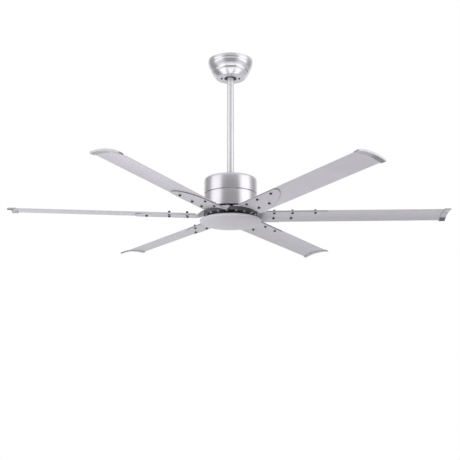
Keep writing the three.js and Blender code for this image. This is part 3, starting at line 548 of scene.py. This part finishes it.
# ---- Blade brackets -------------------------------------------------------------------------
# Six arms stamped from steel plate and powder coated silver. Each is bolted on the hub ring by its
# pad, drops to the blade's plane, follows the underside of the arched blade, and sweeps to a
# narrow nose along the blade's leading side.
blade_count = 6
first_azimuth = 2.05
blade_plane = -628.21
blade_pitch = 8.5
blade_rise = 1.1
blade_half = 53
arch_rise = 7.5
gap = 0.3
plate = 3.6
pad_inner = 74
pad_outer = 104.2
arm_start = 130
arm_leading = 50
arm_trailing = 49
nose_out = 362
nose_radius = 12
sweep = [(178, -49), (235, -40), (335, -12), (362, 36)]
screw_places = [(162.4, -33.6), (231.2, -33.6), (317, -33.6), (163.2, 19.9), (230.1, 19.9)]

# Half the angle over which the pad fans out, and how far the stations crowd towards the nose
pad_half_angle = math.radians(27)
sweep_crowding = 1.5
sweep_steps = 40
bracket_strips = 16

# Thickness that the plate shows in the photograph, less than the solid's
sheet = 2.2
blade_frame = (Matrix.Rotation(math.radians(-blade_rise), 4, "Y")
               @ Matrix.Rotation(math.radians(-blade_pitch), 4, "X"))
arms = [Matrix.Translation((0, 0, blade_plane))
        @ Matrix.Rotation(math.radians(first_azimuth - 360 * i / blade_count), 4, "Z")
        for i in range(blade_count)]

# Silver powder coat: satin, lilac-grey, with fine flakes and an even orange peel 2 mm across
powder, shader = start_finish("silver_powder_coat", 0.3, 0.45)
place = add(powder, "ShaderNodeTexCoord")
flakes = add(powder, "ShaderNodeTexNoise", {"Vector": place.outputs["Object"], "Scale": 1000 / 2,
                                            "Detail": 4.0})
tint(powder, shader, flakes.outputs["Fac"], "#AEACB2", "#B9B7BD")
roughen(powder, shader, flakes.outputs["Fac"], 0.36, 0.48)
emboss(powder, shader, flakes.outputs["Fac"], 0.008)


def underside(across):
    """Height of a blade's underside over the blade's plane."""
    return arch_rise * (1 - (across / blade_half) ** 2)


def sweep_point(t):
    """Point of the arm's swept trailing side, from 0 at its straight stretch to 1 at its nose."""
    shares = ((1 - t) ** 3, 3 * t * (1 - t) ** 2, 3 * t * t * (1 - t), t ** 3)
    return [sum(share * point[axis] for share, point in zip(shares, sweep)) for axis in (0, 1)]


def bracket_stations():
    """Distance out, trailing side and leading side along the bracket, closer where it curves."""
    stretches = ((pad_inner, pad_outer, 3), (pad_outer, arm_start, 12), (arm_start, sweep[0][0], 3))
    stations = [(start + (end - start) * i / steps, -arm_trailing, arm_leading)
                for start, end, steps in stretches for i in range(steps)]
    for i in range(sweep_steps + 1):
        out, trailing = sweep_point(1 - (1 - i / sweep_steps) ** sweep_crowding)
        past = max(0, out - nose_out + nose_radius)
        leading = arm_leading - nose_radius + math.sqrt(nose_radius ** 2 - past ** 2)
        stations.append((out, trailing, leading))
    return stations


def on_bracket(station, share):
    """Middle of the plate at a station, from its trailing side at -1 to its leading side at 1."""
    out, trailing, leading = station
    turned = pad_half_angle * share
    pad = Vector((out * math.cos(turned), -out * math.sin(turned),
                  hub_top + gap + plate / 2 - blade_plane))
    across = (trailing + leading) / 2 + share * (leading - trailing) / 2
    arm = blade_frame @ Vector((out, -across, underside(across) - gap - plate / 2))
    blend = min(1, max(0, (out - pad_outer) / (arm_start - pad_outer)))
    return pad.lerp(arm, blend * blend * (3 - 2 * blend))


stations = bracket_stations()
for number, arm in enumerate(arms, 1):
    bracket = bmesh.new()
    bmesh.ops.create_grid(bracket, x_segments=len(stations) - 1, y_segments=bracket_strips, size=1)
    for corner in bracket.verts:
        station = stations[round((corner.co.x + 1) / 2 * (len(stations) - 1))]
        corner.co = on_bracket(station, corner.co.y)
    bmesh.ops.recalc_face_normals(bracket, faces=bracket.faces)
    if sum(f.normal.z for f in bracket.faces) < 0:
        bmesh.ops.reverse_faces(bracket, faces=bracket.faces)
    bmesh.ops.translate(bracket, verts=bracket.verts, vec=(0, 0, -plate / 2))
    bmesh.ops.solidify(bracket, geom=bracket.faces, thickness=-sheet)
    finish_piece(f"blade_bracket_plate_{number}", bracket, powder, "rotor",
                 [f"blade_bracket_{number}"], 0.7, arm)


# ---- Hub bolts ------------------------------------------------------------------------------
# Three bright zinc bolts to each bracket, driven from below through the hub ring into the pad,
# their hexagon heads on washers against the dark rim.
bolt_circle = 96
bolt_spread = 20
bolt_flats = 8

# Facets, radius, foot and top of the washer, the head and the shank
bolt_rounds = [(24, 5, -0.9, 0), (6, bolt_flats / math.sqrt(3), -4.4, -0.9), (12, 2.5, 0, 19)]

bolts = bmesh.new()
for arm_turn in range(blade_count):
    for spread in (-bolt_spread, 0, bolt_spread):
        azimuth = first_azimuth - 360 / blade_count * arm_turn + spread
        place_bolt = (Matrix.Rotation(math.radians(azimuth), 4, "Z")
                      @ Matrix.Translation((bolt_circle, 0, hub_bottom)))
        for facets, radius, low, high in bolt_rounds:
            middle = place_bolt @ Matrix.Translation((0, 0, (low + high) / 2))
            bmesh.ops.create_cone(bolts, cap_ends=True, segments=facets, radius1=radius,
                                  radius2=radius, depth=high - low, matrix=middle)
finish_piece("hub_bolts", bolts, zinc, "rotor", (), 0.35)


# ---- Blades ---------------------------------------------------------------------------------
# Six arched blades extruded from aluminium, thickest along the crest and powder coated silver.
# They are pitched, and lie on the brackets.
blade_root = 132
blade_end = 818.2
blade_edge = 1.6
blade_crest = 1.0
blade_strips = 24

# The pattern of each blade starts this much further on, so that no two blades are the same, and
# this multiple of a point's height keeps the faces above and below from matching
pattern_shift = 900
pattern_height = 3

# Aluminium powder coated silver: satin lilac-grey, with the die's faint lines along the blade,
# drawn 4 mm apart so that they show, and cloudy patches from spraying
coated, shader = start_finish("powder_coated_aluminium", 0.35, 0.42)
along = add(coated, "ShaderNodeTexCoord")
drawn = add(coated, "ShaderNodeMapping", {"Vector": along.outputs["UV"], "Scale": (0.02, 1, 1)})
lines = add(coated, "ShaderNodeTexNoise", {"Vector": drawn.outputs["Vector"], "Scale": 1000 / 4,
                                           "Detail": 3.0})
clouds = add(coated, "ShaderNodeTexNoise", {"Vector": along.outputs["UV"], "Scale": 1000 / 90,
                                            "Detail": 2.0})
mixed = add(coated, "ShaderNodeMath", {0: lines.outputs["Fac"], 1: clouds.outputs["Fac"]},
            operation="ADD")
halved = add(coated, "ShaderNodeMath", {0: mixed.outputs["Value"], 1: 0.5}, operation="MULTIPLY")
tint(coated, shader, halved.outputs["Value"], "#B3B1B7", "#BDBBC1")
roughen(coated, shader, halved.outputs["Value"], 0.36, 0.48)
emboss(coated, shader, lines.outputs["Fac"], 0.004)


def arched_bar(bm, start, end, margin, steps):
    """Length of the blade's arched section along X, grown on every side by a margin."""
    half = blade_half + margin
    bmesh.ops.create_cube(bm, size=2, matrix=Matrix.Translation(((start + end) / 2, 0, 0))
                          @ Matrix.Diagonal(((end - start) / 2, half, 1, 1)))
    across = [e for e in bm.edges if abs(e.verts[0].co.y - e.verts[1].co.y) > half]
    bmesh.ops.subdivide_edges(bm, edges=across, cuts=steps - 1, use_grid_fill=True)
    for corner in bm.verts:
        y = corner.co.y
        thickness = blade_edge + 2 * margin + blade_crest * (1 - (y / half) ** 2)
        corner.co.z = underside(y) - margin + (thickness if corner.co.z > 0 else 0)
    return bm


for number, arm in enumerate(arms, 1):
    blade = arched_bar(bmesh.new(), blade_root, blade_end, 0, blade_strips)
    skin = blade.loops.layers.uv.new("UVMap")
    for face in blade.faces:
        for loop in face.loops:
            out, across, height = loop.vert.co
            loop[skin].uv = ((out + pattern_shift * number) / 1000,
                             (across + pattern_height * height) / 1000)
    finish_piece(f"blade_{number}_arched", blade, coated, "rotor",
                 [f"blade_{number}"], 0.5, arm @ blade_frame)


# ---- Blade screws ---------------------------------------------------------------------------
# Five black M5 cap screws to each blade, driven from below square to the arched bracket, with low
# cap nuts on washers on the blade's upper side.
cap_screw_head = 5

# Radius and height over the blade of points round the cap nut and its washer
cap_nut = [(0, 6.6), (1.9, 6.3), (3.3, 5.3), (3.9, 4), (4.4, 3.7), (4.4, 1), (5, 1), (5, 0), (0, 0)]

for number, arm in enumerate(arms, 1):
    screws = bmesh.new()
    for out, across in screw_places:
        stack = plate + gap + blade_edge + blade_crest * (1 - (across / blade_half) ** 2)
        one = screw(bmesh.new(), 4.8, cap_screw_head, 2.4, stack + 2, 1.9)
        turn(one, [(radius, stack + cap_screw_head + height) for radius, height in cap_nut],
             screw_facets)
        slope = math.atan(-2 * arch_rise * across / blade_half ** 2)
        bmesh.ops.transform(one, verts=one.verts, matrix=(
            Matrix.Translation((out, across, underside(across) - gap - plate))
            @ Matrix.Rotation(slope, 4, "X") @ Matrix.Translation((0, 0, -cap_screw_head))))
        one_mesh = bpy.data.meshes.new("blade_screw")
        one.to_mesh(one_mesh)
        one.free()
        screws.from_mesh(one_mesh)
    finish_piece(f"blade_screws_{number}", screws, blackened, "rotor", (), 0,
                 arm @ blade_frame)


# ---- Blade caps -----------------------------------------------------------------------------
# Moulded cap pushed over each blade's tip: the same arch, a little thicker, plated and glossy.
cap_start = 801.5
tip_radius = 825.3
cap_skin = 2.4
cap_socket = 17

# ABS with vacuum-plated silver: glossy, with a slight moulded waviness 12 mm across
plated, shader = start_finish("plated_abs", 0.9, 0.12)
place = add(plated, "ShaderNodeTexCoord")
waves = add(plated, "ShaderNodeTexNoise", {"Vector": place.outputs["Object"], "Scale": 1000 / 12,
                                           "Detail": 2.0})
tint(plated, shader, waves.outputs["Fac"], "#A9A7AD", "#B9B7BD")
roughen(plated, shader, waves.outputs["Fac"], 0.08, 0.18)
emboss(plated, shader, waves.outputs["Fac"], 0.03)

for number, arm in enumerate(arms, 1):
    cap = arched_bar(bmesh.new(), cap_start, tip_radius, cap_skin, blade_strips)
    mouth = [f for f in cap.faces if all(abs(v.co.x - cap_start) < 0.01 for v in f.verts)]
    bmesh.ops.inset_region(cap, faces=mouth, thickness=cap_skin - gap, use_even_offset=True)
    mouth = [f for f in mouth if f.is_valid]
    deep = bmesh.ops.extrude_face_region(cap, geom=mouth)["geom"]
    bmesh.ops.delete(cap, geom=mouth, context="FACES_ONLY")
    deep = [g for g in deep if isinstance(g, bmesh.types.BMVert)]
    bmesh.ops.translate(cap, verts=deep, vec=(cap_socket, 0, 0))
    finish_piece(f"blade_cap_{number}_plated", cap, plated, "rotor",
                 [f"blade_cap_{number}"], 1.1, arm @ blade_frame)


# ---- Cover plate and nut --------------------------------------------------------------------
# Steel disc on the shaft's end, clamped by a nut, into which the bottom cover snaps.
dress("cover_plate", galvanised)
dress("cover_nut", zinc)


# ---- Bottom cover ---------------------------------------------------------------------------
# Shallow dished cover, spun from sheet and powder coated silver, with a short straight rim. It
# hides the plate and the nut.
cover_radius = 116
cover_top = -642.51
cover_rim = 3.5
cover_depth = 26
cover_wall = 1.6
cover_facets = 144

# Share of the dish that is an ellipse; the rest drops to a point
cover_roundness = 0.75


def dome(wall, steps):
    """Outline of the dish from its rim to the middle, one wall inside its outer face."""
    points = []
    for i in range(steps + 1):
        angle = math.pi / 2 * i / steps
        bulge = (cover_roundness * math.sin(angle)
                 + (1 - cover_roundness) * (1 - math.cos(angle)))
        radius = (cover_radius - wall) * math.cos(angle) if i < steps else 0
        points.append((radius, cover_top - cover_rim - (cover_depth - cover_rim - wall) * bulge))
    return points


cover = dome(0, 24)[::-1] + [(cover_radius, cover_top), (cover_radius - cover_wall, cover_top)]
cover += dome(cover_wall, 20)
finish_piece("bottom_cover_dish", turn(bmesh.new(), cover, cover_facets), powder, "suspension",
             ["bottom_cover"], 0.4)


# ---- Floor, light and camera ----------------------------------------------------------------
# Plain pale studio floor at room height, glowing screens under and round the fan that only
# reflections see, two soft lamps, and the camera where the photographer stood.
floor_height = -2.6

pale, shader = start_finish("pale_studio_floor", 0.0, 0.7)
place = add(pale, "ShaderNodeTexCoord")
scuffs = add(pale, "ShaderNodeTexNoise", {"Vector": place.outputs["Object"], "Scale": 3.0,
                                          "Detail": 2.0})
tint(pale, shader, scuffs.outputs["Fac"], "#F1F1F2", "#F4F4F5")
floor = bmesh.new()
bmesh.ops.create_grid(floor, x_segments=1, y_segments=1, size=20,
                      matrix=Matrix.Translation((0, 0, floor_height)))
floor_mesh = bpy.data.meshes.new("studio_floor")
floor.to_mesh(floor_mesh)
floor.free()
floor_mesh.materials.append(pale)
floor_piece = bpy.data.objects.new("studio_floor", floor_mesh)
bpy.context.scene.collection.objects.link(floor_piece)

# A screen's colours run from 0 to 1, so its glow is this much times its colour
screen_glow = 2.0
screen_steps = 60


def surround(name, foot, head, stops, reach=150):
    """Round screen that only reflections see. Foot and head are its distance and height at either
    edge, the stops pairs of an angle in degrees from the front, to the right, and the brightness
    there, and the reach the angle where it ends on both sides."""
    glow = bpy.data.materials.new(name)
    glow.use_nodes = True
    glow.node_tree.nodes.remove(glow.node_tree.nodes["Principled BSDF"])
    place = add(glow, "ShaderNodeTexCoord")
    split = add(glow, "ShaderNodeSeparateXYZ", {"Vector": place.outputs["Object"]})
    front = add(glow, "ShaderNodeMath", {0: split.outputs["Y"], 1: -1.0}, operation="MULTIPLY")
    angle = add(glow, "ShaderNodeMath", {0: split.outputs["X"], 1: front.outputs["Value"]},
                operation="ARCTAN2")
    share = add(glow, "ShaderNodeMapRange", {"Value": angle.outputs["Value"], "From Min": -math.pi,
                                             "From Max": math.pi})
    light = add(glow, "ShaderNodeEmission", {"Strength": screen_glow},
                {"Emission": glow.node_tree.nodes["Material Output"].inputs["Surface"]})
    ramp = add(glow, "ShaderNodeValToRGB", {"Fac": share.outputs["Result"]},
               {"Color": light.inputs["Color"]})
    ramp.color_ramp.interpolation = "EASE"
    made = ramp.color_ramp.elements
    made.remove(made[1])
    for number, (degrees, strength) in enumerate(stops):
        position = 0.5 + degrees / 360
        stop = made[0] if number == 0 else made.new(position)
        stop.position = position
        stop.color = [strength / screen_glow] * 3 + [1.0]
    bm = bmesh.new()
    ends = [bm.verts.new((0, -distance, height)) for distance, height in (foot, head)]
    edge = bm.edges.new(ends)
    bmesh.ops.rotate(bm, verts=ends, cent=(0, 0, 0),
                     matrix=Matrix.Rotation(math.radians(-reach), 3, "Z"))
    bmesh.ops.spin(bm, geom=ends + [edge], cent=(0, 0, 0), axis=(0, 0, 1),
                   angle=math.radians(2 * reach), steps=screen_steps)
    mesh = bpy.data.meshes.new(name)
    bm.to_mesh(mesh)
    bm.free()
    mesh.materials.append(glow)
    piece = bpy.data.objects.new(name, mesh)
    bpy.context.scene.collection.objects.link(piece)
    piece.visible_camera = False
    piece.visible_diffuse = False
    piece.visible_shadow = False


# Distances and heights where one screen ends and the next begins: on the floor outwards from the
# fan, and up round the room
floor_screen = -2.55
under_fan, middle_edge, near_edge, far_edge, room_edge = 0.02, 0.45, 2.3, 4.9, 7.0
low_foot, housing_foot, rod_foot = -2.5, -0.9, 2.15
rim_foot, ceiling_foot, ceiling_top = 2.8, 3.5, 6.0

# Dark under the fan, and a bright half in front of it
middle_stops = [(-180, 0.25), (180, 0.25)]
near_stops = [(-180, 0.5), (-105, 0.9), (-85, 1.6), (85, 1.6), (103, 0.5), (115, 0.2), (145, 0.2),
              (158, 0.4), (180, 0.5)]
surround("floor_middle", (under_fan, floor_screen), (middle_edge, floor_screen), middle_stops, 180)
surround("floor_near", (middle_edge, floor_screen), (near_edge, floor_screen), near_stops, 180)

# Bright in front and dark at the sides, which gives the canopy's lower bowl its middle
bright_stops = [(-150, 1.0), (-136, 1.0), (-120, 0.42), (-92, 0.42), (-72, 1.75), (-40, 1.75),
                (-20, 1.35), (20, 1.35), (40, 1.7), (72, 1.7), (92, 0.85), (125, 0.85),
                (140, 1.0), (150, 1.0)]
surround("floor_far", (near_edge, floor_screen), (far_edge, floor_screen), bright_stops)

# Dark in front, which gives both bowls of the canopy their dark spot
dim_stops = [(-150, 1.0), (-136, 1.0), (-120, 0.36), (-94, 0.36), (-74, 0.9), (-50, 0.9),
             (-14, 0.36), (14, 0.36), (50, 0.9), (72, 0.9), (92, 0.7), (125, 0.7), (140, 1.0),
             (150, 1.0)]
surround("floor_edge", (far_edge, floor_screen), (room_edge, low_foot), dim_stops)
surround("low_screen", (room_edge, low_foot), (room_edge, housing_foot), dim_stops)

# Two bright bands and a dark one between, as on the housing
housing_stops = [(-150, 1.0), (-142, 1.0), (-132, 0.45), (-98, 0.45), (-82, 1.6), (-46, 1.6),
                 (-34, 0.38), (34, 0.38), (48, 1.75), (84, 1.75), (100, 0.5), (132, 0.5),
                 (142, 1.0), (150, 1.0)]
surround("housing_screen", (room_edge, housing_foot), (room_edge, rod_foot), housing_stops)

# Brighter to the right, as on the rod
rod_stops = [(-150, 1.0), (-142, 1.0), (-132, 0.4), (-98, 0.4), (-80, 1.1), (-40, 1.1),
             (-20, 1.0), (20, 1.0), (40, 1.6), (80, 1.6), (98, 0.8), (135, 0.8), (145, 1.0),
             (150, 1.0)]
surround("rod_screen", (room_edge, rod_foot), (room_edge, rim_foot), rod_stops)

# Nearly even, as on the canopy's rim band, and greyer towards the ceiling
rim_stops = [(-150, 1.0), (-138, 1.0), (-124, 0.7), (-98, 0.7), (-76, 1.1), (-40, 1.1),
             (-14, 0.75), (14, 0.75), (40, 1.1), (76, 1.1), (98, 0.9), (130, 0.9), (140, 1.0),
             (150, 1.0)]
ceiling_stops = [(-150, 0.68), (150, 0.68)]
surround("rim_screen", (room_edge, rim_foot), (room_edge, ceiling_foot), rim_stops)
surround("ceiling_screen", (room_edge, ceiling_foot), (room_edge, ceiling_top), ceiling_stops)


def soft_lamp(name, place, aim, size, power):
    """Round lamp that lights the fan but shows neither to the camera nor in reflections."""
    light = bpy.data.lights.new(name, "AREA")
    light.shape = "DISK"
    light.size = size
    light.energy = power
    lamp = bpy.data.objects.new(name, light)
    bpy.context.scene.collection.objects.link(lamp)
    lamp.location = place
    lamp.visible_camera = False
    lamp.visible_glossy = False
    lamp.rotation_euler = (Vector(aim) - Vector(place)).to_track_quat("-Z", "Y").to_euler()


soft_lamp("key_lamp", (-3.0, -4.0, 1.6), (0, 0, -0.5), 3.0, 50)
soft_lamp("left_lamp", (-1.75, -0.85, -1.95), (-0.6, -0.2, -0.6), 0.6, 30)

# The world is plain white where the camera, metal or glass sees it, and lights the rest softly
soft_strength = 0.88
white_strength = 1.0
world = bpy.data.worlds.new("white_studio")
bpy.context.scene.world = world
world.use_nodes = True
world.node_tree.nodes.clear()
seen = add(world, "ShaderNodeLightPath")
either = add(world, "ShaderNodeMath", {0: seen.outputs["Is Camera Ray"],
                                       1: seen.outputs["Is Glossy Ray"]}, operation="MAXIMUM")
any_seen = add(world, "ShaderNodeMath", {0: either.outputs["Value"],
                                         1: seen.outputs["Is Transmission Ray"]},
               operation="MAXIMUM")
soft = add(world, "ShaderNodeBackground", {"Color": linear("#FFFFFF"), "Strength": soft_strength})
white = add(world, "ShaderNodeBackground", {"Color": linear("#FFFFFF"),
                                            "Strength": white_strength})
sky = add(world, "ShaderNodeMixShader", {0: any_seen.outputs["Value"],
                                         1: soft.outputs["Background"],
                                         2: white.outputs["Background"]})
add(world, "ShaderNodeOutputWorld", {"Surface": sky.outputs["Shader"]})

# Fitted to the blade screws, rims and blade edges in the photograph; it looks up at the fan
camera_place = (-0.002, -3.641, -1.569)
camera_lens = 78.26
camera_rise = 13.74

camera = bpy.data.objects.new("camera", bpy.data.cameras.new("camera"))
bpy.context.scene.collection.objects.link(camera)
camera.data.sensor_width = 36
camera.data.lens = camera_lens
camera.location = camera_place
camera.rotation_euler = (math.radians(90 + camera_rise), 0, 0)
bpy.context.scene.camera = camera
bpy.context.scene.view_settings.view_transform = "Standard"
